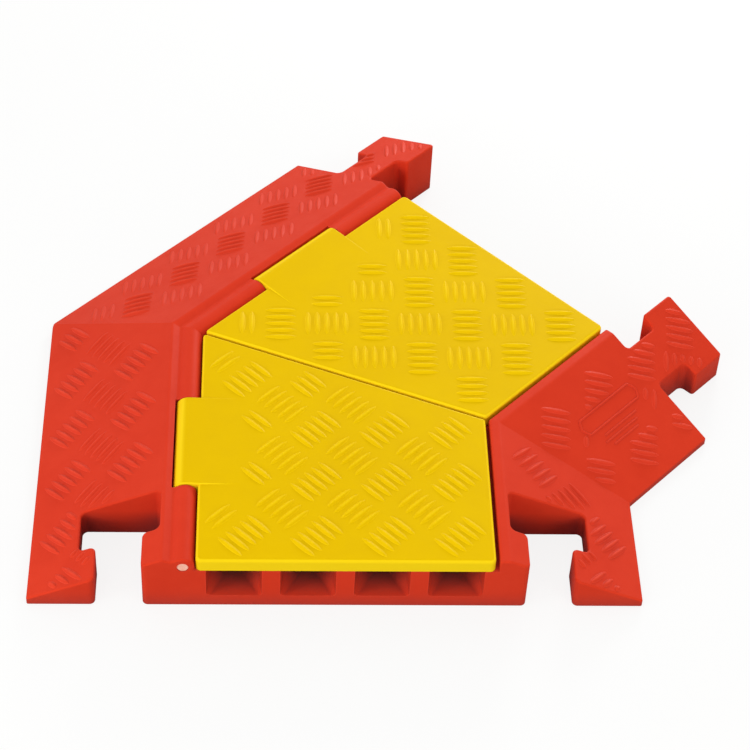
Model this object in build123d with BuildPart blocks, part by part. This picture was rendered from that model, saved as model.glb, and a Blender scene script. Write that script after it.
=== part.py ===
from build123d import *
from math import cos, radians, sin, tan
import os

# A 45 degree turn module of a four-channel cable protector ramp, with two hinged lids.
#
# Frame: +Z up, ground at Z = 0, millimetres. The origin is on the ground under the bend, where the
# centre lines of the two runs cross. The front run goes from the bend towards -Y, the rear run
# towards (sin 45, cos 45). +X is the inner side of the turn, -X the outer side.
# Across a run, u is measured from its centre line, positive towards the inner side.

# ---- runs ----
turn = 45.0  # angle between the two runs
half_width = 250.0
run_length = 209.05  # along each centre line, from the bend to the end face
toe_height = 6.4  # upright lip at both toes
ledge_z = 43.3  # the lids lie on this level

# corners of the ramp section, as (u, z)
outer_foot = (-half_width, 0)
outer_toe = (-half_width, toe_height)
outer_crest = (-140.2, 55.3)
valley = (-133.4, 52.8)  # shallow groove between outer ramp and hinge rail
rail_foot = (-131.2, 53.4)  # outer side of the hinge rail
shoulder = (129.8, 55.3)  # top of the wall beside the lids on the inner side
inner_crest = (138.4, 55.7)
inner_toe = (half_width, toe_height)
inner_foot = (half_width, 0)
crests = (outer_crest, inner_crest)

section_rounds = (  # corner, radius
    (outer_crest, 3.6),
    (valley, 2.4),
    (rail_foot, 2.4),
    (inner_crest, 6.0),
    (shoulder, 2.6),
    (outer_toe, 1.6),
    (inner_toe, 1.6),
)
edge_r = 1.7  # soft edge round the top of both end faces
bend_toe_r = 14.0  # rounding of the toe at the outer bend
toe_cut_side = 5.0  # how far the cutter for it reaches outside the base, beside the bend
toe_cut_corner = 6.0  # and at the corner
cut_below = 1.0  # upright cutters start this far under the ground

# ---- hinge ----
rail_u = -123.3  # hinge axis
rail_z = 46.8
rail_r = 9.3
rail_top_angle = 100  # where the round of the rail gives way to its flatter outer side
rail_mid_angle = 50

pin_d = 9.5
pin_length = 236.0
pin_recess = 0.4  # pin end below the end face
pin_chamfer = 0.5
base_bore_r = pin_d / 2 + 0.05
lid_bore_r = pin_d / 2 + 0.08
lid_bore_overrun = 5.0  # the lid's bore is cut this far past both knuckle ends
bore_depth = 238.5

knuckle_start = 80.2  # from the end face
knuckle_end = 176.8
knuckle_length = knuckle_end - knuckle_start
knuckle_gap = 1.0  # at each end of the knuckle
knuckle_r = 10.4
knuckle_edge_r = 1.2
pocket_r = knuckle_r + 0.9

# ---- channels ----
channel_count = 4
channel_pitch = 59.6
channel_centre_u = 6.7  # middle of the four channels
channel_cut_z = ledge_z + 1  # top of the cutters
channel_shape = (38.0, 13.6, 12.0)  # width, floor z, corner radius
mouth_shape = (44.8, 12.0, 3.0)  # the same, at the end face
mouth_depth = 22.0

# ---- lids ----
lid_left_u = -113.1
lid_right_u = 126.7
lid_top_z = 55.8
lid_bottom_z = 43.45
lid_gap = 2.4  # between the two lids, across the bend
lid_corner_r = 4.5
lid_mitre_corner_r = 2.5
lid_edge_r = 2.6
pad_fade_u = -79.0  # where the pad on the knuckle meets the lid's surface
pad_drop = 0.02  # pad below the lid's surface there
pad_fade_rise = 2.0  # underside of the pad above the lid's underside there
pad_root = 6.0  # where the underside reaches the lid's underside, from the lid's left edge

# ---- connectors ----
connectors = (-175.8, 173.5)  # u of each centre, the same at both ends
slot_throat = 38.2
slot_wide = 66.4
slot_hook = 35.4  # depth of the throat
slot_depth = 75.6
slot_r = 5.0
slot_overrun = 20.0  # cutter in front of the end face
head_neck = 37.0
head_width = 64.8
head_start = 37.4
head_end = 74.4
head_r = 2.6
head_overlap = 10.0  # neck inside the run
head_section_overlap = 12.0  # trimming section, a little deeper than the neck
head_section_length = head_end + 30
head_blank_height = outer_crest[1] + 10
slot_cut_height = outer_crest[1] + 12
connector_edge_r = 4.5  # slot mouths and roots of the necks

# ---- planes ----
half = radians(turn / 2)
tan_half = tan(half)
mitre = Plane(origin=(0, 0, 0), x_dir=(cos(half), -sin(half), 0), z_dir=(sin(half), cos(half), 0))
front_end = Plane.XZ.offset(run_length)  # local x is u, local y is Z, normal leaves the front face
past_bend = half_width * tan_half + 10  # clear of the mitre at either toe
bend_side = Plane.XZ.offset(-past_bend)
full_length = run_length + past_bend
rear_run = Plane(
    origin=(0, 0, 0), x_dir=(cos(radians(turn)), -sin(radians(turn)), 0), z_dir=(0, 0, 1)
)
rear_section = Plane(origin=(0, 0, 0), x_dir=rear_run.x_dir, z_dir=-rear_run.y_dir)


def beside(value, distance):
    """Whether u lies at this distance from a connector's centre."""
    return any(abs(abs(value - c) - distance) < 0.1 for c in connectors)


def within(value, distance):
    """Whether u lies no further than this from a connector's centre."""
    return any(abs(value - c) < distance + 0.1 for c in connectors)


def rail_point(degrees):
    angle = radians(degrees)
    return rail_u + rail_r * cos(angle), rail_z + rail_r * sin(angle)


def draw_channel(sketch, centre_u, shape):
    """Draw a channel, rounded at the floor, in the open sketch."""
    width, floor_z, corner_r = shape
    with Locations((centre_u, (floor_z + channel_cut_z) / 2)):
        Rectangle(width, channel_cut_z - floor_z)
    fillet(sketch.vertices().group_by(Axis.Y)[0], corner_r)


def draw_tees(sketch, end_y, overlap, neck, neck_length, bar, bar_end, bar_r):
    """Draw a T at each connector in the open sketch; lengths count from end_y towards +y."""
    for centre_u in connectors:
        with Locations((centre_u, end_y + (neck_length - overlap) / 2)):
            Rectangle(neck, neck_length + overlap)
        with Locations((centre_u, end_y + (neck_length + bar_end) / 2)):
            Rectangle(bar, bar_end - neck_length)
    inside = sketch.vertices().filter_by(
        lambda v: abs(v.Y - end_y - neck_length) < 0.1 and within(v.X, neck / 2)
    )
    fillet(inside, slot_r)
    outside = sketch.vertices().filter_by(lambda v: beside(v.X, bar / 2))
    fillet(outside, bar_r)


def make_run():
    """The front run, from its end face to the mitre."""
    with BuildPart() as run:
        with BuildSketch(bend_side) as section:
            rail_top = rail_point(rail_top_angle)
            roll = radians(rail_top_angle)
            with BuildLine():
                Polyline(outer_foot, outer_toe, outer_crest, valley, rail_foot)
                TangentArc(rail_top, rail_foot, tangent=(-sin(roll), cos(roll)))
                ThreePointArc(rail_top, rail_point(rail_mid_angle), (rail_u + rail_r, rail_z))
                Polyline(
                    (rail_u + rail_r, rail_z),
                    (rail_u + rail_r, ledge_z),
                    (shoulder[0], ledge_z),
                    shoulder,
                    inner_crest,
                    inner_toe,
                    inner_foot,
                    outer_foot,
                )
            make_face()
            for (u, z), radius in section_rounds:
                fillet(section.vertices().sort_by_distance((u, z, 0))[0], radius)
        extrude(amount=full_length)

        # cable channels, open at the top, with flared mouths at the end face
        for i in range(channel_count):
            centre_u = channel_centre_u + (i - (channel_count - 1) / 2) * channel_pitch
            with BuildSketch(bend_side) as channel:
                draw_channel(channel, centre_u, channel_shape)
            extrude(amount=full_length, mode=Mode.SUBTRACT)
            with BuildSketch(front_end) as mouth:
                draw_channel(mouth, centre_u, mouth_shape)
            with BuildSketch(front_end.offset(-mouth_depth)) as throat:
                draw_channel(throat, centre_u, channel_shape)
            loft(mode=Mode.SUBTRACT)

        # pocket for the lid's knuckle: round below the hinge axis, with upright walls above it,
        # so that the pad over the knuckle has room when the lid stands open
        with BuildSketch(front_end.offset(-(knuckle_start - knuckle_gap))):
            with Locations((rail_u, rail_z)):
                Circle(pocket_r)
            with Locations((rail_u, rail_z + pocket_r)):
                Rectangle(2 * pocket_r, 2 * pocket_r)
        extrude(amount=-(knuckle_length + 2 * knuckle_gap), mode=Mode.SUBTRACT)

        # blind bore for the hinge pin, from the end face
        with BuildSketch(front_end):
            with Locations((rail_u, rail_z)):
                Circle(base_bore_r)
        extrude(amount=-bore_depth, mode=Mode.SUBTRACT)

        split(bisect_by=mitre, keep=Keep.BOTTOM)
    return run.part


def make_heads():
    """Connector heads of the rear end: ramp section, cut to a T in plan."""
    with BuildPart() as heads:
        with BuildSketch(rear_run) as plan:
            draw_tees(
                plan,
                end_y=run_length,
                overlap=head_overlap,
                neck=head_neck,
                neck_length=head_start,
                bar=head_width,
                bar_end=head_end,
                bar_r=head_r,
            )
        extrude(amount=head_blank_height)
        with BuildSketch(rear_section.offset(-run_length + head_section_overlap)):
            with BuildLine():
                Polyline(
                    outer_foot, outer_toe, outer_crest,
                    inner_crest, inner_toe, inner_foot, outer_foot,
                )
            make_face()
        extrude(amount=-head_section_length, mode=Mode.INTERSECT)
    return heads.part


def make_base():
    run = make_run()
    with BuildPart() as base:
        add(run)
        mirror(run, about=mitre)
        add(make_heads())

        # female T-slots in the front end, cut right through
        with BuildSketch(Plane.XY.offset(-cut_below)) as slots:
            draw_tees(
                slots,
                end_y=-run_length,
                overlap=slot_overrun,
                neck=slot_throat,
                neck_length=slot_hook,
                bar=slot_wide,
                bar_end=slot_depth,
                bar_r=slot_r,
            )
        extrude(amount=slot_cut_height, mode=Mode.SUBTRACT)

        # upright edges: slot mouths, then roots of the necks
        slot_mouths = base.edges().filter_by(Axis.Z).filter_by(
            lambda e: abs(e.center().Y + run_length) < 0.1
            and beside(e.center().X, slot_throat / 2)
        )
        fillet(slot_mouths, connector_edge_r)
        neck_roots = base.edges().filter_by(Axis.Z).filter_by(
            lambda e: abs(rear_run.to_local_coords(e.center()).Y - run_length) < 0.1
            and beside(rear_run.to_local_coords(e.center()).X, head_neck / 2)
        )
        fillet(neck_roots, connector_edge_r)

        # round the toe at the outer bend
        bend_corner = Vector(-half_width, half_width * tan_half)
        tangent_length = bend_toe_r * tan_half
        first = bend_corner - Vector(0, tangent_length)
        middle = bend_corner + mitre.x_dir * (bend_toe_r / cos(half) - bend_toe_r)
        last = bend_corner + rear_run.y_dir * tangent_length
        with BuildSketch(Plane.XY.offset(-cut_below)):
            with BuildLine():
                ThreePointArc(first, middle, last)
                Polyline(
                    last,
                    last - rear_run.x_dir * toe_cut_side,
                    bend_corner - mitre.x_dir * toe_cut_corner,
                    first - Vector(toe_cut_side, 0),
                    first,
                )
            make_face()
        extrude(amount=toe_height + 10, mode=Mode.SUBTRACT)

        # soft edge round the top: each of the four edge chains is found by its point on a crest
        front_edges = base.edges().filter_by(
            lambda e: all(abs(v.Y + run_length) < 0.01 for v in e.vertices())
        )
        rear_edges = base.edges().filter_by(
            lambda e: all(
                abs(rear_run.to_local_coords(v.center()).Y - run_length) < 0.01
                for v in e.vertices()
            )
        )
        fillet([front_edges.sort_by_distance((u, -run_length, z))[0] for u, z in crests], edge_r)
        rear_points = [rear_run.from_local_coords(Vector(u, run_length, z)) for u, z in crests]
        fillet([rear_edges.sort_by_distance(point)[0] for point in rear_points], edge_r)
    return base.part


def make_plate():
    """Flat plate of the front lid, with a mitred edge at the bend."""
    inset = lid_gap / 2 / cos(half)
    with BuildPart() as plate:
        with BuildSketch(Plane.XY.offset(lid_bottom_z)) as outline:
            with BuildLine():
                Polyline(
                    (lid_left_u, -run_length),
                    (lid_right_u, -run_length),
                    (lid_right_u, -lid_right_u * tan_half - inset),
                    (lid_left_u, -lid_left_u * tan_half - inset),
                    (lid_left_u, -run_length),
                )
            make_face()
            fillet(outline.vertices().group_by(Axis.Y)[0], lid_corner_r)
            fillet(outline.vertices().group_by(Axis.Y)[-2:], lid_mitre_corner_r)
        extrude(amount=lid_top_z - lid_bottom_z)
        fillet(plate.faces().sort_by(Axis.Z)[-1].edges(), lid_edge_r)
    return plate.part


def make_knuckle():
    """Knuckle of the front lid and the pad over it, not yet bored."""
    with BuildPart() as knuckle:
        with BuildSketch(front_end.offset(-knuckle_start)):
            with Locations((rail_u, rail_z)):
                Circle(knuckle_r)
            with BuildLine():
                Polyline(
                    (rail_u, rail_z + knuckle_r),
                    (pad_fade_u, lid_top_z - pad_drop),
                    (pad_fade_u, lid_bottom_z + pad_fade_rise),
                    (lid_left_u + pad_root, lid_bottom_z),
                    (rail_u, lid_bottom_z),
                    (rail_u, rail_z + knuckle_r),
                )
            make_face()
        extrude(amount=-knuckle_length)
        fillet(knuckle.faces().filter_by(Axis.Y).edges(), knuckle_edge_r)
    return knuckle.part


def make_front_lid():
    with BuildPart() as lid:
        add(make_plate())
        add(make_knuckle())
        with BuildSketch(front_end.offset(-knuckle_start + lid_bore_overrun)):
            with Locations((rail_u, rail_z)):
                Circle(lid_bore_r)
        extrude(amount=-(knuckle_length + 2 * lid_bore_overrun), mode=Mode.SUBTRACT)
    return lid.part


def make_front_pin():
    """Plain rod with broken edges."""
    with BuildPart() as pin:
        with BuildSketch(front_end.offset(-pin_recess)):
            with Locations((rail_u, rail_z)):
                Circle(pin_d / 2)
        extrude(amount=-pin_length)
        chamfer(pin.faces().filter_by(Axis.Y).edges(), pin_chamfer)
    return pin.part


def mirrored(part):
    """The rear run's copy of a front piece."""
    with BuildPart() as rear:
        mirror(part, about=mitre)
    return rear.part


front_lid = make_front_lid()
front_pin = make_front_pin()
pieces = {
    "base": make_base(),
    "front_lid": front_lid,
    "rear_lid": mirrored(front_lid),
    "front_hinge_pin": front_pin,
    "rear_hinge_pin": mirrored(front_pin),
}

os.makedirs("parts", exist_ok=True)
for name, piece in pieces.items():
    piece.label = name
    export_step(piece, f"parts/{name}.step")
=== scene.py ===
"""Two-run cable ramp with a 45 degree bend: a red base, two yellow lids and their hinge pins.

The frame's origin is on the bend. The front run goes from it towards -Y, the rear run towards
+X +Y. In each run u is measured across it, positive on the inner side of the bend, and v along
it, positive from the front run towards the rear run. Metres, with +Z up, unless a name or
comment says millimetres.
"""

import math

import bmesh
import bpy
from mathutils import Matrix, Vector
from mathutils.bvhtree import BVHTree


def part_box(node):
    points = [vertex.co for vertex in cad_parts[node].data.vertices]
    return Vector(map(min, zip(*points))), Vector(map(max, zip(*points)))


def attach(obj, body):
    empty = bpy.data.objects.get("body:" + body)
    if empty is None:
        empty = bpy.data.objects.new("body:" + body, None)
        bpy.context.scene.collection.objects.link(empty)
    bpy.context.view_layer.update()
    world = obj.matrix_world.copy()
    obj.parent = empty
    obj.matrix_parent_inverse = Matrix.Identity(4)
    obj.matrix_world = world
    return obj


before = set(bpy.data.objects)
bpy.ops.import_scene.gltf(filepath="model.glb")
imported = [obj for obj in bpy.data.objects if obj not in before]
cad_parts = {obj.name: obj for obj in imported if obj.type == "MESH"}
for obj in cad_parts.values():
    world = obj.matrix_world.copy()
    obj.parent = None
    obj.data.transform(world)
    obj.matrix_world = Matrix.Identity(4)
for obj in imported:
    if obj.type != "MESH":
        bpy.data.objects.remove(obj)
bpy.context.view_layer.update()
scene = bpy.context.scene

MM = 0.001
COS_45 = math.sqrt(0.5)

# ------------------------------------------------------------------ the frame's own surfaces
half_width = -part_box("base")[0].x  # toe to toe is twice this

RAMP_PROBE_U = (0.165, 0.236)  # two places on the flat of a ramp, away from its edges
RAMP_PROBE_V = 0.115
LID_PROBE = (0.03, -0.1655)
PROBE_TOP = 0.2
PROBE_REACH = 0.4
SURFACE_REACH = 0.006  # how far each side of a flat the moulding is looked for
FLAT_TOLERANCE = 0.00014

trees = {}
for node_name in ("base", "front_lid", "rear_lid"):
    cad_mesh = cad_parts[node_name].data
    trees[node_name] = BVHTree.FromPolygons(
        [v.co.copy() for v in cad_mesh.vertices], [tuple(p.vertices) for p in cad_mesh.polygons]
    )


def turned(rear, u, v, z):
    """Run coordinates to the frame's."""
    if rear:
        return Vector(((u + v) * COS_45, (v - u) * COS_45, z))
    return Vector((u, v, z))


class Surface:
    """A flat of one run: a runs across the run on the flat, in the sense of u; v along the run."""

    def __init__(self, node, rear, u0, z0, u1, z1):
        self.tree = trees[node]
        self.rear = rear
        length = math.hypot(u1 - u0, z1 - z0)
        self.u0, self.z0 = u0, z0
        self.du, self.dz = (u1 - u0) / length, (z1 - z0) / length
        self.normal = turned(rear, -self.dz, 0.0, self.du)

    def point(self, a, v, height=None):
        """Millimetres in, metres out."""
        flat = turned(
            self.rear, self.u0 + a * MM * self.du, v * MM, self.z0 + a * MM * self.dz
        )
        return flat if height is None else flat + self.normal * (height * MM)

    def on(self, a, v):
        """True where the moulding really lies on this flat."""
        place = self.point(a, v)
        hit = self.tree.ray_cast(
            place + self.normal * SURFACE_REACH, -self.normal, 2 * SURFACE_REACH
        )[0]
        return hit is not None and abs((hit - place).dot(self.normal)) < FLAT_TOLERANCE


def probe_height(node, rear, u, v):
    start = turned(rear, u, v, PROBE_TOP)
    return trees[node].ray_cast(start, Vector((0, 0, -1)), PROBE_REACH)[0].z


def ramp_surface(rear, inner):
    """The flat of a ramp; its a is 0 at the toe, so it is negative all over an inner ramp."""
    near, far = RAMP_PROBE_U
    v = RAMP_PROBE_V if rear else -RAMP_PROBE_V
    start, end = (near, far) if inner else (-far, -near)
    heights = [probe_height("base", rear, u, v) for u in (start, end)]
    surface = Surface("base", rear, start, heights[0], end, heights[1])
    toe = half_width if inner else -half_width
    surface.z0 += (toe - surface.u0) / surface.du * surface.dz
    surface.u0 = toe
    return surface


lid_z = probe_height("front_lid", False, *LID_PROBE)
surfaces = {
    "front_lid": Surface("front_lid", False, 0.0, lid_z, 0.1, lid_z),
    "rear_lid": Surface("rear_lid", True, 0.0, lid_z, 0.1, lid_z),
    "front_outer": ramp_surface(rear=False, inner=False),
    "rear_outer": ramp_surface(rear=True, inner=False),
    "front_inner": ramp_surface(rear=False, inner=True),
    "rear_inner": ramp_surface(rear=True, inner=True),
}


def inner_a(u):
    """The a of an inner ramp for a distance u in plan, both in millimetres."""
    return (u - half_width / MM) / surfaces["front_inner"].du


# ------------------------------------------------------------------ tread layout, millimetres
# A tile is a group of up to five parallel bars: (sense, a, v, bars). Sense +1 lays the bars
# along (+a, +v) and -1 along (+a, -v); bars are counted from the middle one, 0.
PITCH = 57.8
BAR_STEP = PITCH * COS_45 / 5
BAR_LENGTH = 27.6
BAR_HALF = 2.8  # half the width
BAR_HEIGHT = 1.8
SHORTEST_BAR = 6  # a cut bar needs more sample points than this
FULL = (-2, -1, 0, 1, 2)


def along_a(sense, a, v, *groups):
    """A line of tiles a pitch apart across the run."""
    return [(sense, a + i * PITCH, v, bars) for i, bars in enumerate(groups)]


def along_v(sense, a, v, *groups):
    """A line of tiles a pitch apart along the run."""
    return [(sense, a, v + i * PITCH, bars) for i, bars in enumerate(groups)]


front_lid_tiles = [
    *along_a(-1, -74.0, -182.4, FULL, FULL, FULL, FULL),
    *along_a(1, -102.9, -153.5, (-2, -1), FULL, FULL, FULL),
    *along_a(-1, -74.0, -124.6, (1, 2), FULL, FULL, FULL),
    *along_a(1, -45.1, -95.7, FULL, FULL, FULL),
    *along_a(-1, -74.0, -66.8, (1, 2), FULL, FULL, (-2, -1, 0, 1)),
    *along_a(1, -45.1, -37.9, FULL, FULL),
    *along_a(-1, -74.0, -9.0, FULL, (-2, -1, 0)),
    *along_a(1, -102.9, 19.9, (-2, -1)),
]

# tiles of the inner ramps, with u in the place of a
front_inner_plan = [
    (1, 166.3, -96.3, FULL), (-1, 194.0, -123.5, FULL),
    (-1, 194.0, -181.3, FULL),  # cut by the inner slot
    (1, 221.6, -152.5, FULL), (1, 221.6, -210.3, (-1, 0, 1, 2)),
]
rear_inner_plan = [
    (1, 168.3, 267.3, FULL), (-1, 195.5, 240.5, FULL),
    (1, 168.8, 212.5, FULL), (-1, 197.4, 185.8, (0, 1)),
    (1, 167.3, 155.8, FULL), (1, 221.6, 155.5, FULL),
    (1, 168.7, 97.3, FULL), (-1, 197.4, 128.6, (-2, -1)),
    (1, 221.6, 97.7, (0, 1, 2)), (1, 221.6, 213.3, (-2, -1)),
]

tiles = {
    "front_lid": front_lid_tiles,
    # the front lid seen in the bend plane
    "rear_lid": [(-sense, a, -v, tuple(-k for k in bars)) for sense, a, v, bars in front_lid_tiles],
    "front_outer": [
        *along_v(-1, 29.0, -208.2, (0, 1, 2), FULL, FULL, FULL, FULL, (-2, -1, 0)),
        *along_v(1, 57.5, -179.3, FULL, (2, 1, 0, -1), FULL, FULL),  # the first cut by the slot
        (1, 57.5, 51.0, FULL),
        *along_v(-1, 86.8, -92.6, FULL, FULL, FULL),
    ],
    "rear_outer": [
        *along_v(-1, 29.0, -77.0, (0, 1, 2), FULL, FULL, FULL, FULL, (-2, -1)),
        *along_v(-1, 86.8, -19.2, FULL, FULL, FULL, FULL, FULL, FULL),
        *along_v(1, 57.5, -48.1, FULL, FULL, FULL, FULL, FULL, (-2, -1, 0)),
    ],
    "front_inner": [(sense, inner_a(u), v, bars) for sense, u, v, bars in front_inner_plan],
    "rear_inner": [(sense, inner_a(u), v, bars) for sense, u, v, bars in rear_inner_plan],
}

# (surface, sense): shift of the bars square to their length, factor on their height
BAR_TUNING = {
    ("front_lid", -1): (-0.7, 0.85), ("front_lid", 1): (-1.0, 1.0),
    ("rear_lid", -1): (-0.7, 1.0), ("rear_lid", 1): (-0.6, 1.0),
    ("front_outer", -1): (0.3, 1.15), ("front_outer", 1): (-1.8, 1.0),
    ("rear_outer", -1): (0.0, 0.85), ("rear_outer", 1): (-0.6, 1.35),
    ("front_inner", -1): (-0.6, 1.25), ("front_inner", 1): (-0.5, 1.35),
    ("rear_inner", -1): (0.0, 1.0), ("rear_inner", 1): (-0.9, 1.0),
}

# the rear inner ramp has no bars inside this rectangle, where the blank plate is
PLATE_A = (inner_a(176.5), inner_a(211.0))
PLATE_V = (117.0, 185.0)


def allowed(key, a, v, da, dv):
    """True if the strip across a bar at (a, v) lies on the flat and clear of the plate."""
    reach = BAR_HALF - 0.2
    for t in (-reach, 0.0, reach):
        x, y = a - dv * t, v + da * t
        if not surfaces[key].on(x, y):
            return False
        if key == "rear_inner" and PLATE_A[0] < x < PLATE_A[1] and PLATE_V[0] < y < PLATE_V[1]:
            return False
    return True


def cut_bars(key):
    """(ends, lift) of each bar of a surface, cut back from rims, slots and the bend."""
    made = []
    steps = int(BAR_LENGTH) + 1
    for sense, tile_a, tile_v, numbers in tiles[key]:
        nudge, lift = BAR_TUNING[key, sense]
        da, dv = COS_45, sense * COS_45
        across_a, across_v = -sense * COS_45, COS_45
        tile_a, tile_v = tile_a + across_a * nudge, tile_v + across_v * nudge
        for k in numbers:
            a, v = tile_a + across_a * k * BAR_STEP, tile_v + across_v * k * BAR_STEP
            runs, run = [], []
            for i in range(steps + 1):
                s = -BAR_LENGTH / 2 + BAR_LENGTH * i / steps
                if allowed(key, a + da * s, v + dv * s, da, dv):
                    if not run:
                        runs.append(run)
                    run.append(s)
                else:
                    run = []
            for run in runs:
                if len(run) > SHORTEST_BAR:
                    s0, s1 = run[0], run[-1]
                    made.append(((a + da * s0, v + dv * s0, a + da * s1, v + dv * s1), lift))
    return made


# ------------------------------------------------------------------ tread and plate meshes
def add_bar(surface, ends, lift, verts, faces, crest):
    """A closed, soft-sided, lens-shaped bar whose skirt is sunk into the moulding."""
    a0, v0, a1, v1 = ends
    length = math.hypot(a1 - a0, v1 - v0)
    da, dv = (a1 - a0) / length, (v1 - v0) / length
    rows, across = 20, 10
    fullness = min(1.0, length / BAR_LENGTH)
    peak = BAR_HEIGHT * lift * (0.75 + 0.25 * fullness)  # cut bars are lower
    start = len(verts)

    def put(s, t, height):
        verts.append(surface.point(a0 + da * s - dv * t, v0 + dv * s + da * t, height))
        crest.append(max(0.0, height / BAR_HEIGHT))

    put(0.0, 0.0, -0.25)
    put(length, 0.0, -0.25)
    rings = []
    for i in range(1, rows):
        x = -math.cos(math.pi * i / rows)  # closer rings near both ends
        s = length * (x + 1) / 2
        end = max(0.0, 1 - abs(x) ** 2.4)
        half = BAR_HALF * end**0.55
        middle = peak * end**0.80
        ring = []
        for j in range(across + 1):
            t = -1 + 2 * j / across
            ring.append(len(verts))
            put(s, t * half, -0.06 + middle * math.cos(math.pi * t / 2) ** 1.7)
        ring.append(len(verts))
        put(s, 0.0, -0.5)
        rings.append(ring)
    count = across + 2
    for p, q in zip(rings, rings[1:]):
        for j in range(count):
            k = (j + 1) % count
            faces.append((p[j], q[j], q[k], p[k]))
    for j in range(count):
        k = (j + 1) % count
        faces.append((start, rings[0][j], rings[0][k]))
        faces.append((start + 1, rings[-1][k], rings[-1][j]))


def mesh_piece(name, verts, faces, material, body, crest=None):
    """Makes the piece; crest is how far each point stands up its bar, which the material uses."""
    mesh = bpy.data.meshes.new(name)
    mesh.from_pydata([tuple(v) for v in verts], [], faces)
    if crest:
        mesh.attributes.new("crest", "FLOAT", "POINT").data.foreach_set("value", crest)

    bm = bmesh.new()
    bm.from_mesh(mesh)
    bmesh.ops.recalc_face_normals(bm, faces=bm.faces)
    for face in bm.faces:
        face.smooth = True
    for edge in bm.edges:
        edge.smooth = edge.calc_face_angle(0.0) < math.radians(50)
    bm.to_mesh(mesh)
    bm.free()
    mesh.materials.append(material)
    piece = bpy.data.objects.new(name, mesh)
    scene.collection.objects.link(piece)
    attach(piece, body)


def build_tread(key, body, material):
    verts, faces, crest = [], [], []
    for ends, lift in cut_bars(key):
        add_bar(surfaces[key], ends, lift, verts, faces, crest)
    name = key + ("_tread" if key.endswith("lid") else "_ramp_tread")
    mesh_piece(name, verts, faces, material, body, crest)


def rounded(points, radius, steps=6):
    """A closed outline with its corners rounded."""
    out = []
    for i, point in enumerate(points):
        before, corner, after = (
            Vector(points[i - 1]), Vector(point), Vector(points[(i + 1) % len(points)])
        )
        back, ahead = (before - corner).normalized(), (after - corner).normalized()
        cut = radius / math.tan(back.angle(ahead) / 2)
        start, end = corner + back * cut, corner + ahead * cut
        for j in range(steps + 1):
            t = j / steps
            out.append(tuple(start * (1 - t) ** 2 + corner * 2 * t * (1 - t) + end * t**2))
    return out


def add_band(surface, outline, profile, verts, faces):
    """A closed band along a counter-clockwise outline; profile is (offset outwards, height)."""
    start, n, m = len(verts), len(outline), len(profile)
    for i, (a, v) in enumerate(outline):
        before_a, before_v = outline[i - 1]
        after_a, after_v = outline[(i + 1) % n]
        da, dv = after_a - before_a, after_v - before_v
        length = math.hypot(da, dv)
        out_a, out_v = dv / length, -da / length
        for offset, height in profile:
            verts.append(surface.point(a + out_a * offset, v + out_v * offset, height))
    for i in range(n):
        p, q = start + i * m, start + (i + 1) % n * m
        for j in range(m):
            k = (j + 1) % m
            faces.append((p + j, q + j, q + k, p + k))


def add_bead(surface, middle_a, v_from, v_to, verts, faces):
    """A low closed bead along v, in outline rings from the skirt to the crown."""
    low_a, high_a = middle_a - BEAD_HALF, middle_a + BEAD_HALF
    outline = rounded([(low_a, v_from), (high_a, v_from), (high_a, v_to), (low_a, v_to)], 0.8)
    start, n = len(verts), len(outline)
    middle_v = (v_from + v_to) / 2
    for shrink, height in BEAD_LEVELS:
        for a, v in outline:
            ring_a = middle_a + (a - middle_a) * shrink
            ring_v = middle_v + (v - middle_v) * (1 - (1 - shrink) * 0.03)
            verts.append(surface.point(ring_a, ring_v, height))
    top = len(BEAD_LEVELS) - 1
    for level in range(top):
        p, q = start + level * n, start + (level + 1) * n
        for i in range(n):
            j = (i + 1) % n
            faces.append((p + i, p + j, q + j, q + i))
    faces.append(tuple(start + top * n + i for i in range(n)))
    faces.append(tuple(start + i for i in reversed(range(n))))


# the blank plate, millimetres: a six-sided raised ring and three beads beside it
RING_A, RING_V = inner_a(183.6), 151.0
RING_HALF_A = 7.6
RING_SHOULDER_V, RING_TIP_V = 32.0, 36.0
RING_CORNER = 2.2
RING_PROFILE = [  # offset outwards, height
    (-1.15, -0.35), (-1.0, 0.3), (-0.5, 0.85), (0.0, 1.0), (0.5, 0.85), (1.0, 0.3), (1.15, -0.35),
]
BEADS = ((197.6, 130.0, 172.0), (202.6, 126.0, 168.0), (207.6, 132.0, 164.0))  # u, v from, v to
BEAD_HALF = 0.9
BEAD_LEVELS = ((1.0, -0.35), (1.0, 0.15), (0.75, 0.5), (0.4, 0.7))  # factor on width, height


def build_plate(material):
    surface = surfaces["rear_inner"]
    low_a, high_a = RING_A - RING_HALF_A, RING_A + RING_HALF_A
    low_v, high_v = RING_V - RING_SHOULDER_V, RING_V + RING_SHOULDER_V
    corners = [
        (low_a, low_v), (RING_A, RING_V - RING_TIP_V), (high_a, low_v),
        (high_a, high_v), (RING_A, RING_V + RING_TIP_V), (low_a, high_v),
    ]
    verts, faces = [], []
    add_band(surface, rounded(corners, RING_CORNER), RING_PROFILE, verts, faces)
    for u, v_from, v_to in BEADS:
        add_bead(surface, inner_a(u), v_from, v_to, verts, faces)
    mesh_piece("blank_plate_frame", verts, faces, material, "base")


# ------------------------------------------------------------------ node helpers
def rgb(r, g, b):
    """sRGB 0-255 to the linear colour a node wants."""
    out = []
    for c in (r, g, b):
        c /= 255
        out.append(c / 12.92 if c <= 0.04045 else ((c + 0.055) / 1.055) ** 2.4)
    return (*out, 1.0)


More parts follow.
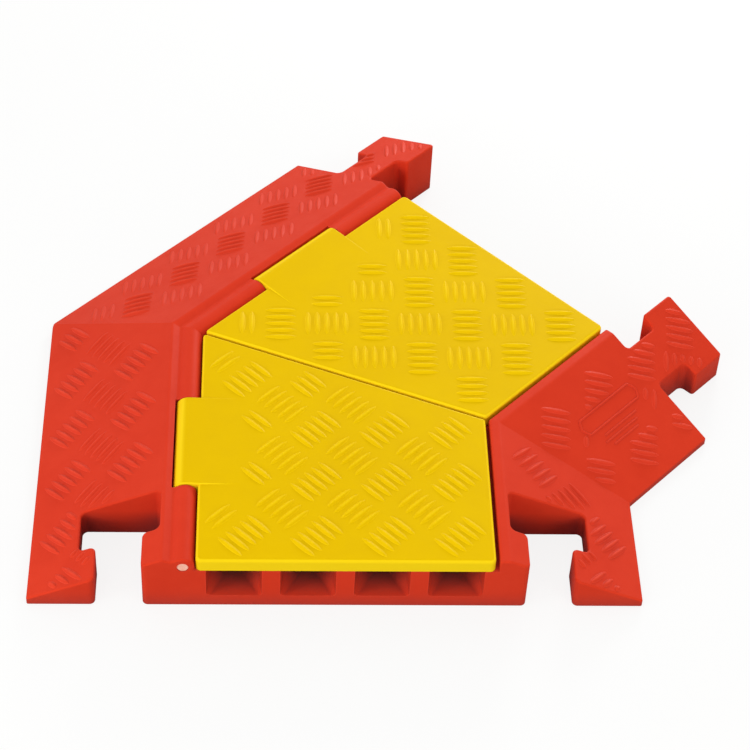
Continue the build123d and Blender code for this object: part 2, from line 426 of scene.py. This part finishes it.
class Nodes:
    """Short calls that add nodes to the emptied tree of a material or world."""

    def __init__(self, owner):
        owner.use_nodes = True
        self.tree = owner.node_tree
        self.tree.nodes.clear()

    def fill(self, node, inputs):
        for key, value in inputs.items():
            if isinstance(value, bpy.types.NodeSocket):
                self.tree.links.new(value, node.inputs[key])
            else:
                node.inputs[key].default_value = value

    def add(self, kind, **inputs):
        node = self.tree.nodes.new(kind)
        self.fill(node, {key.replace("_", " "): value for key, value in inputs.items()})
        return node

    def math(self, op, a, b=0.0, clamp=False):
        node = self.add("ShaderNodeMath")
        node.operation, node.use_clamp = op, clamp
        self.fill(node, {0: a, 1: b})
        return node.outputs[0]

    def times(self, a, b):
        return self.math("MULTIPLY", a, b)

    def ramp(self, value, start, end, low=0.0, high=1.0):
        """Goes from low to high, and no further, as value goes from start to end."""
        node = self.add(
            "ShaderNodeMapRange",
            Value=value, From_Min=start, From_Max=end, To_Min=low, To_Max=high,
        )
        node.clamp = True
        return node.outputs["Result"]

    def mix(self, factor, a, b):
        node = self.add("ShaderNodeMix")
        node.data_type = "RGBA"
        self.fill(node, {0: factor, 6: a, 7: b})
        return node.outputs[2]

    def tint(self, colour, tone, where, amount):
        """Lays tone over colour where the mask says, at most by amount."""
        return self.mix(self.times(where, amount), colour, tone)

    def vary(self, base, field, amount, clamp=False):
        """Base plus amount times how far field is from its middle, 0.5."""
        offset = self.times(self.math("SUBTRACT", field, 0.5), amount)
        return self.math("ADD", base, offset, clamp)

    def blend(self, factor, a, b):
        node = self.add("ShaderNodeMixShader")
        self.fill(node, {0: factor, 1: a, 2: b})
        return node.outputs[0]

    def split(self, vector):
        return self.add("ShaderNodeSeparateXYZ", Vector=vector).outputs

    def mapped(self, vector, **inputs):
        return self.add("ShaderNodeMapping", Vector=vector, **inputs).outputs["Vector"]

    def noise(self, vector, scale, detail=3.0, rough=0.5, distortion=0.0):
        return self.add(
            "ShaderNodeTexNoise",
            Vector=vector, Scale=scale, Detail=detail, Roughness=rough, Distortion=distortion,
        ).outputs["Fac"]

    def openness(self, samples, distance):
        """1 in the open, less in recesses."""
        node = self.add("ShaderNodeAmbientOcclusion", Distance=distance)
        node.samples = samples
        return node.outputs["AO"]

    def bump(self, **inputs):
        return self.add("ShaderNodeBump", **inputs).outputs["Normal"]

    def surface(self, shader, output="ShaderNodeOutputMaterial"):
        self.add(output, Surface=shader)


# ------------------------------------------------------------------ materials
# tone of the painted shadow low in the connector slots
SLOT_SHADOW_TONE = (0.13, 0.006, 0.008, 1)
# tone of the painted shade inside the channels
CHANNEL_SHADE_TONE = (0.05, 0.034, 0.033, 1)


def scuffs(n, place, clouds):
    """Thin broken lines, only where the clouds allow."""
    lines = n.mapped(place, Rotation=(0.3, 0.2, 0.9), Scale=(30.0, 420.0, 200.0))
    lines = n.noise(lines, scale=1.0, detail=5.0, rough=0.75, distortion=1.2)
    found = n.times(n.ramp(lines, 0.67, 0.73), n.ramp(clouds, 0.45, 0.62))
    return n.times(found, 0.5)


def worn_and_lit_edges(n, patches):
    """Where a rounded normal leaves the true one: pale edges, partly wear and partly painted
    highlight.
    """
    bevel = n.add("ShaderNodeBevel", Radius=0.0016)
    bevel.samples = 4
    geometry = n.add("ShaderNodeNewGeometry")
    dot = n.add("ShaderNodeVectorMath")
    dot.operation = "DOT_PRODUCT"
    n.fill(dot, {0: bevel.outputs["Normal"], 1: geometry.outputs["Normal"]})
    worn_and_lit = n.ramp(dot.outputs["Value"], 0.985, 0.90)
    return n.times(worn_and_lit, n.ramp(patches, 0.30, 0.62, low=0.35, high=0.9))


def slot_zone(n, x, y):
    """Mask of the blocks, in plan, that hold the connector slots of the front run, where a shadow
    is painted low on the slot walls.
    """
    wide = n.math("ABSOLUTE", x)
    across = n.times(n.ramp(wide, 0.130, 0.134), n.ramp(wide, 0.232, 0.226))
    return n.times(across, n.times(n.ramp(y, -0.200, -0.180), n.ramp(y, -0.125, -0.130)))


def channel_mouths(n, x, y, z, open_sky):
    """Mask of the covered part of the channels near the far end of each run, where shade is
    painted.
    """
    cos_45 = 0.70711
    across = n.math("MINIMUM", x, n.times(n.math("SUBTRACT", x, y), cos_45))
    across = n.math("ABSOLUTE", n.math("SUBTRACT", across, 0.0067))
    along = n.math("MAXIMUM", n.times(y, -1.0), n.times(n.math("ADD", x, y), cos_45))
    inside = n.times(n.ramp(z, 0.0434, 0.0428), n.ramp(across, 0.1175, 0.1160))
    ends = n.times(n.ramp(along, 0.2080, 0.1900), n.ramp(along, 0.150, 0.180))
    return n.times(n.times(inside, ends), n.ramp(open_sky, 0.62, 0.42))


def moulded(name, main, pale, deep, edge, rough, specular, seed, crest_highlight, deep_shade_level,
            recess_shade_tone, rim_highlight=0.0, slots=0.0):
    """Cast polyurethane: flow marks, a fine mould grain, pale edges that are partly wear and partly
    painted highlight, light scuffs, painted shade in recesses and seams, and painted highlights.

    main, pale, deep and edge are its tones, edge the pale one for wear and painted highlights; seed
    moves the noise. crest_highlight and rim_highlight are the painted highlights on bar crests and
    rounded rims, slots the amount of painted shadow low in the connector slots, which also turns on
    the painted shade in the channels, deep_shade_level is how much colour the painted shade leaves
    in the deepest recesses, and recess_shade_tone is the tone of that painted shade.
    """
    material = bpy.data.materials.new(name)
    n = Nodes(material)
    coord = n.add("ShaderNodeTexCoord").outputs
    x, y, z = n.split(coord["Object"])
    place = n.mapped(coord["Object"], Location=(seed, seed * 0.7, seed * 0.3))
    streak_place = n.mapped(place, Rotation=(0.0, 0.0, 0.35), Scale=(9.0, 60.0, 40.0))

    clouds = n.noise(place, scale=11.0, detail=4.0, rough=0.55, distortion=0.4)
    patches = n.noise(place, scale=55.0, detail=5.0, rough=0.6, distortion=0.2)
    streaks = n.noise(streak_place, scale=1.0, detail=4.0, rough=0.6, distortion=0.8)
    speckle = n.noise(place, scale=900.0, detail=2.0, rough=0.5)
    fine = n.noise(place, scale=2600.0, detail=2.0, rough=0.6)
    peel = n.noise(place, scale=260.0, detail=2.0, rough=0.45)
    scratch = scuffs(n, place, clouds)
    worn_and_lit = worn_and_lit_edges(n, patches)

    colour = n.mix(n.ramp(clouds, 0.30, 0.70), main, pale)
    colour = n.tint(colour, deep, where=n.ramp(patches, 0.42, 0.75), amount=0.22)
    colour = n.tint(colour, pale, where=n.ramp(streaks, 0.50, 0.74), amount=0.25)
    colour = n.tint(colour, deep, where=n.ramp(speckle, 0.56, 0.75), amount=0.16)
    # pale edges: partly wear, partly painted highlight
    colour = n.tint(colour, edge, where=worn_and_lit, amount=0.55)
    colour = n.tint(colour, edge, where=scratch, amount=0.45)

    # rounded rims are painted paler than the flats beside them: a painted highlight
    upward = n.split(coord["Normal"])[2]
    if rim_highlight:
        rims = n.times(n.ramp(upward, 0.990, 0.90), n.ramp(upward, -0.20, 0.0))
        colour = n.tint(colour, edge, where=rims, amount=rim_highlight)

    # tread bars: paler on the crest, a painted highlight
    crest = n.add("ShaderNodeAttribute")
    crest.attribute_name = "crest"
    crest_lit = n.math("POWER", crest.outputs["Fac"], 1.6)
    colour = n.tint(colour, edge, where=crest_lit, amount=crest_highlight)

    # painted shade: deep places and narrow seams are darkened towards a dark tone; this factor is 1
    # where none is painted
    open_sky = n.openness(samples=6, distance=0.035)
    unshaded = n.ramp(open_sky, 0.12, 0.74, low=deep_shade_level, high=1.0)
    open_near = n.openness(samples=4, distance=0.005)
    unshaded = n.times(unshaded, n.ramp(open_near, 0.25, 0.85, low=0.82, high=1.0))
    # less of the painted shade in the seams beside the lids and high up in the connector slots
    reach = n.ramp(z, 0.0405, 0.0450, low=1.0, high=0.15)
    if slots:
        zone = slot_zone(n, x, y)
        spared = n.times(zone, n.ramp(z, 0.018, 0.030, low=0.0, high=0.8))
        reach = n.times(reach, n.math("SUBTRACT", 1.0, spared))
    unshaded = n.math("SUBTRACT", 1.0, n.times(n.math("SUBTRACT", 1.0, unshaded), reach))
    colour = n.mix(unshaded, recess_shade_tone, colour)
    if slots:
        # painted shadow low on the walls of the connector slots
        low = n.times(n.ramp(z, 0.027, 0.012), n.ramp(upward, 0.5, 0.2))
        colour = n.tint(colour, SLOT_SHADOW_TONE, where=n.times(low, zone), amount=slots)
        # painted shade inside the covered part of the channels
        mouths = channel_mouths(n, x, y, z, open_sky)
        colour = n.tint(colour, CHANNEL_SHADE_TONE, where=mouths, amount=0.93)

    roughness = n.vary(rough, patches, amount=0.22)
    roughness = n.vary(roughness, speckle, amount=0.12)
    roughness = n.math("ADD", roughness, n.times(scratch, 0.18), clamp=True)

    normal = n.bump(Strength=0.35, Distance=0.00012, Height=fine)
    normal = n.bump(Strength=0.30, Distance=0.00022, Height=peel, Normal=normal)
    normal = n.bump(Strength=0.25, Distance=0.0002, Height=scratch, Normal=normal)
    shader = n.add(
        "ShaderNodeBsdfPrincipled", Base_Color=colour, Roughness=roughness, Normal=normal,
        Specular_IOR_Level=specular, Specular_Tint=pale,
    )
    n.surface(shader.outputs["BSDF"])
    return material


def glass_rod(name):
    """The cut end of a pultruded rod: pale resin with fine bundles of fibre."""
    material = bpy.data.materials.new(name)
    n = Nodes(material)
    place = n.add("ShaderNodeTexCoord").outputs["Object"]
    fibres = n.add("ShaderNodeTexVoronoi", Vector=place, Scale=1500.0)
    fibres.feature = "DISTANCE_TO_EDGE"
    bundle = n.ramp(fibres.outputs["Distance"], 0.0, 0.35)
    mottle = n.noise(place, scale=320.0, detail=4.0, rough=0.6)
    drawn = n.noise(n.mapped(place, Scale=(900.0, 40.0, 900.0)), scale=1.0)
    colour = n.mix(bundle, rgb(255, 172, 142), rgb(255, 196, 172))
    colour = n.tint(colour, rgb(255, 214, 194), where=n.ramp(mottle, 0.4, 0.7), amount=0.5)
    roughness = n.vary(0.42, mottle, amount=0.3, clamp=True)
    normal = n.bump(Strength=0.4, Distance=0.0001, Height=drawn)
    normal = n.bump(Strength=0.3, Distance=0.0001, Height=bundle, Normal=normal)
    shader = n.add(
        "ShaderNodeBsdfPrincipled", Base_Color=colour, Roughness=roughness, Normal=normal
    )
    n.surface(shader.outputs["BSDF"])
    return material


def floor_material():
    material = bpy.data.materials.new("studio_floor")
    n = Nodes(material)
    place = n.add("ShaderNodeTexCoord").outputs["Object"]
    tone = n.ramp(n.noise(place, scale=3.0), 0.3, 0.7)
    colour = n.mix(tone, (0.93, 0.93, 0.925, 1), (0.96, 0.96, 0.955, 1))
    diffuse = n.add("ShaderNodeBsdfDiffuse", Color=colour).outputs[0]
    glow = n.add("ShaderNodeEmission", Color=(1.0, 1.0, 0.995, 1), Strength=0.985).outputs[0]
    seen = n.blend(0.86, diffuse, glow)
    # what the floor throws back at the object is duller than what the camera sees of it
    bounce = n.add("ShaderNodeBsdfDiffuse", Color=(0.30, 0.30, 0.30, 1)).outputs[0]
    path = n.add("ShaderNodeLightPath")
    n.surface(n.blend(path.outputs["Is Camera Ray"], bounce, seen))
    return material


# the tones and amounts in these calls include painted shade in recesses, slots and channels and
# painted highlights on bar crests and rims
red = moulded(
    "red_urethane",
    main=(0.672, 0.040, 0.0145, 1), pale=(0.708, 0.046, 0.0175, 1),
    deep=(0.58, 0.028, 0.011, 1), edge=(0.83, 0.085, 0.045, 1),
    rough=0.46, specular=0.11, seed=0.0, crest_highlight=0.35, deep_shade_level=0.15,
    recess_shade_tone=(0.070, 0.046, 0.050, 1), slots=0.45,
)
yellow_look = dict(
    main=(0.785, 0.497, 0.0, 1), pale=(0.815, 0.525, 0.0, 1),
    deep=(0.72, 0.442, 0.0, 1), edge=(0.98, 0.70, 0.01, 1),
    rough=0.42, specular=0.05, seed=0.37, crest_highlight=0.5, deep_shade_level=0.45,
    recess_shade_tone=(0.12, 0.07, 0.006, 1),
)
yellow = moulded("yellow_urethane", rim_highlight=0.8, **yellow_look)
yellow_bars = moulded("yellow_urethane_bars", **yellow_look)
rod = glass_rod("pin_rod_glassfibre")

# ------------------------------------------------------------------ the pieces
for node_name, material in (
    ("base", red), ("front_lid", yellow), ("rear_lid", yellow),
    ("front_hinge_pin", rod), ("rear_hinge_pin", rod),
):
    cad_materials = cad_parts[node_name].data.materials
    cad_materials.clear()
    cad_materials.append(material)

for lid in ("front_lid", "rear_lid"):
    build_tread(lid, lid, yellow_bars)
for ramp in ("front_outer", "rear_outer", "front_inner", "rear_inner"):
    build_tread(ramp, "base", red)
build_plate(red)


# ------------------------------------------------------------------ floor
def build_floor(half_side=30.0, cuts=12, z=-0.0004):
    mesh = bpy.data.meshes.new("studio_floor")
    ticks = [-half_side + 2 * half_side * i / cuts for i in range(cuts + 1)]
    row = cuts + 1
    corners = [j * row + i for j in range(cuts) for i in range(cuts)]
    mesh.from_pydata(
        [(x, y, z) for y in ticks for x in ticks], [],
        [(c, c + 1, c + row + 1, c + row) for c in corners],
    )
    mesh.materials.append(floor_material())
    floor = bpy.data.objects.new("studio_floor", mesh)
    scene.collection.objects.link(floor)


build_floor()

# ------------------------------------------------------------------ world
WORLD_TOP = 0.42  # strength overhead
WORLD_SEEN = 0.985  # strength the camera sees
# degrees round from +X, strength near the horizon, strength half way up
WORLD_WALLS = (
    (0, 0.62, 0.38), (60, 0.95, 0.45), (120, 0.90, 0.45),
    (180, 0.75, 0.42), (240, 0.72, 0.46), (300, 0.75, 0.44),
)


def build_world():
    """A white studio, brightest low down behind the object (+Y)."""
    world = bpy.data.worlds.new("studio")
    scene.world = world
    n = Nodes(world)
    x, y, z = n.split(n.add("ShaderNodeTexCoord").outputs["Generated"])
    z = n.math("MAXIMUM", z, 0.0)
    level = n.math("SQRT", n.math("ADD", n.times(x, x), n.times(y, y)))
    level = n.math("MAXIMUM", level, 0.0001)
    wall = n.math("POWER", n.math("SUBTRACT", 1.0, z), 3.0)
    shelf = n.times(n.times(z, 2.6), n.math("SUBTRACT", 1.0, n.times(z, z)))
    total = n.times(n.times(z, z), WORLD_TOP)
    for degrees, low_power, mid_power in WORLD_WALLS:
        angle = math.radians(degrees)
        facing = n.math("ADD", n.times(x, math.cos(angle)), n.times(y, math.sin(angle)))
        facing = n.math("DIVIDE", facing, level, clamp=True)
        facing = n.times(facing, facing)
        part = n.math("ADD", n.times(wall, low_power), n.times(shelf, mid_power))
        total = n.math("ADD", total, n.times(facing, part))
    path = n.add("ShaderNodeLightPath")
    strength = n.add("ShaderNodeMix")
    strength.data_type = "FLOAT"
    n.fill(strength, {0: path.outputs["Is Camera Ray"], 2: total, 3: WORLD_SEEN})
    back = n.add("ShaderNodeBackground", Color=(1, 1, 1, 1), Strength=strength.outputs[0])
    n.surface(back.outputs[0], output="ShaderNodeOutputWorld")


build_world()

# ------------------------------------------------------------------ lights
LIGHTS = (  # name, place, target, diameter, watts
    ("left_low", (-1.25, -0.72, 0.46), (-0.1, -0.05, 0.03), 0.40, 4.6),
    ("right_low", (0.98, -0.95, 0.42), (0.15, 0.0, 0.03), 0.40, 2.8),
    ("back_low", (0.55, 1.35, 0.55), (0.05, 0.05, 0.03), 0.50, 10.0),
    ("front_soft", (-0.85, -1.5, 0.70), (-0.05, -0.1, 0.03), 0.70, 5.2),
)
for name, place, target, diameter, watts in LIGHTS:
    light = bpy.data.lights.new(name, "AREA")
    light.shape = "DISK"
    light.size = diameter
    light.energy = watts
    lamp = bpy.data.objects.new(name, light)
    lamp.location = place
    lamp.rotation_mode = "QUATERNION"
    lamp.rotation_quaternion = (Vector(target) - Vector(place)).to_track_quat("-Z", "Y")
    scene.collection.objects.link(lamp)

# ------------------------------------------------------------------ camera
CAMERA_PLACE = (-0.05716988, -1.37972586, 1.49175500)
# radians: yaw from +Y towards +X, pitch below the horizon, roll about the line of sight
YAW, PITCH_DOWN, ROLL = 0.06675411704112359, 0.8055596583466689, -0.056484860727162245


def build_camera():
    forward = Vector((
        math.sin(YAW) * math.cos(PITCH_DOWN),
        math.cos(YAW) * math.cos(PITCH_DOWN),
        -math.sin(PITCH_DOWN),
    ))
    level_right = Vector((math.cos(YAW), -math.sin(YAW), 0.0))
    level_down = forward.cross(level_right)
    right = level_right * math.cos(ROLL) + level_down * math.sin(ROLL)
    down = -level_right * math.sin(ROLL) + level_down * math.cos(ROLL)
    data = bpy.data.cameras.new("camera")
    data.sensor_fit = "HORIZONTAL"
    data.sensor_width = 36.0
    data.lens = 111.6063068396299
    data.clip_start = 0.05
    data.clip_end = 100.0
    camera = bpy.data.objects.new("camera", data)
    rows = [(right[i], -down[i], -forward[i], CAMERA_PLACE[i]) for i in range(3)]
    camera.matrix_world = Matrix((*rows, (0, 0, 0, 1)))
    scene.collection.objects.link(camera)
    scene.camera = camera


build_camera()

scene.view_settings.view_transform = "Standard"
scene.view_settings.look = "None"
scene.view_settings.exposure = 0.0
scene.view_settings.gamma = 1.0
